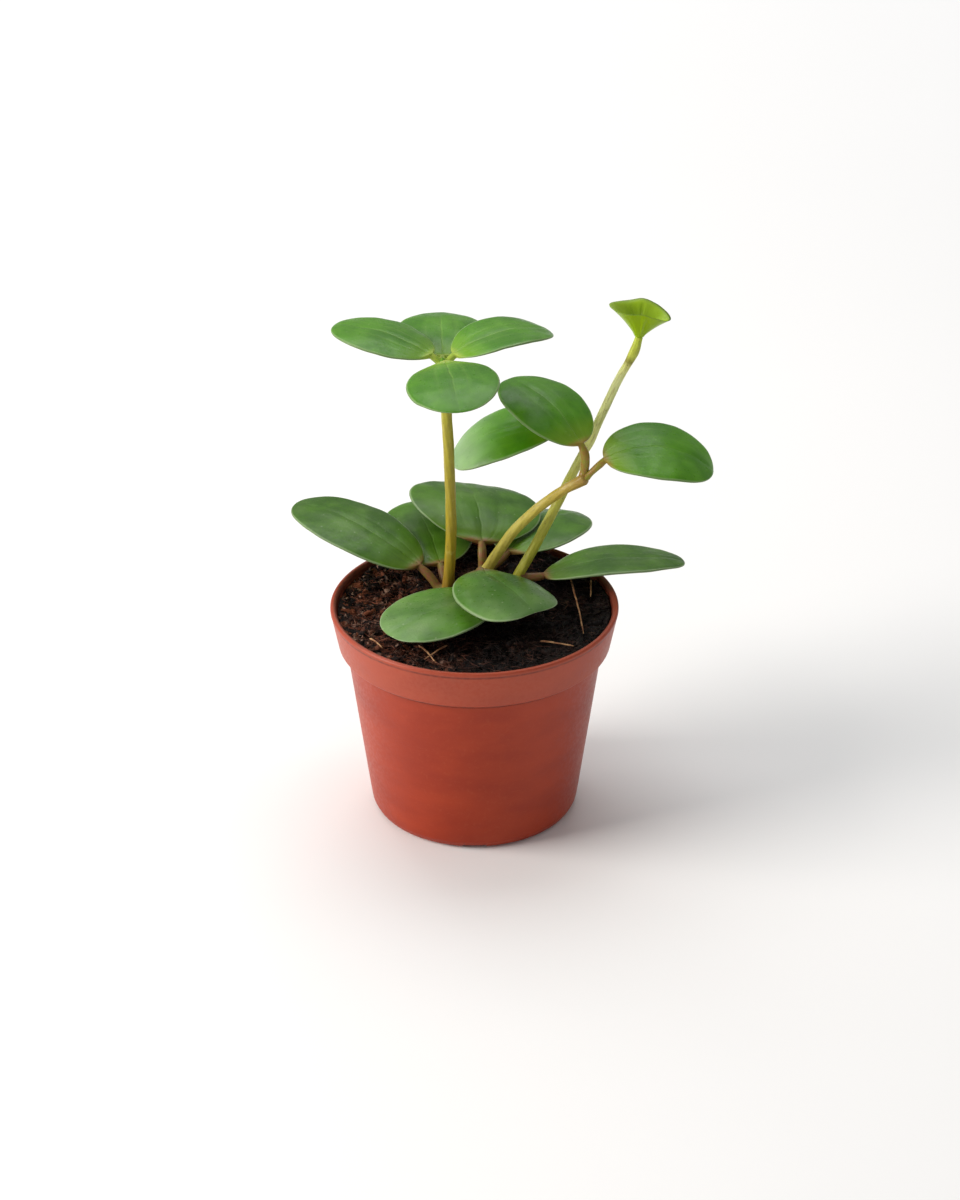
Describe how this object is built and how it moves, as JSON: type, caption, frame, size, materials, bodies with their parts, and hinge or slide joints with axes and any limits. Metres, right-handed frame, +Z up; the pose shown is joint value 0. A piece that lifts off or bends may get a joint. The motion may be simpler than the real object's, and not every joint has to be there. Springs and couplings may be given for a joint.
{
  "type": "potted peperomia",
  "caption": "Small potted leafy houseplant: fleshy oval leaves on thin stems, rooted in potting mix in a tapered plastic nursery pot with a stepped rim.",
  "frame": {"origin": "middle of the pot's underside, on the surface the pot stands on", "axes": "+Z up along the pot's axis, +X towards the right-hand stem and its bud, -Y towards the front of the plant"},
  "size_m": [0.088, 0.0689, 0.1076],
  "materials": {
    "pot_plastic": "satin, injection moulded polypropylene",
    "potting_mix": "loose, matt, fibrous coir and peat",
    "stem": "smooth, slightly waxy living stem",
    "young_leaf": "fleshy leaf, satin wax",
    "old_leaf": "fleshy leaf, duller satin wax",
    "bud_leaf": "fresh young leaf, satin",
    "coir": "dry coconut fibre, matt"
  },
  "bodies": {
    "root": {"pot": "pot_plastic", "potting_mix": "potting_mix", "stem_left": "stem", "stem_middle": "stem", "stem_right": "stem", "crown_leaf_left": "young_leaf", "crown_leaf_back": "young_leaf", "crown_leaf_right": "young_leaf", "crown_leaf_front": "young_leaf", "mid_leaf_upper": "young_leaf", "mid_leaf_left": "young_leaf", "mid_leaf_right": "young_leaf", "base_leaf_left": "old_leaf", "base_leaf_back_left": "old_leaf", "base_leaf_back": "old_leaf", "base_leaf_back_right": "old_leaf", "base_leaf_right": "old_leaf", "base_leaf_front_left": "old_leaf", "base_leaf_front": "old_leaf", "bud_leaf_left": "bud_leaf", "bud_leaf_back": "bud_leaf", "bud_leaf_right": "bud_leaf", "bud_leaf_front": "bud_leaf", "coir_strand_1": "coir", "coir_strand_2": "coir", "coir_strand_3": "coir", "coir_strand_4": "coir", "coir_strand_5": "coir", "coir_strand_6": "coir"}
  },
  "joints": []
}
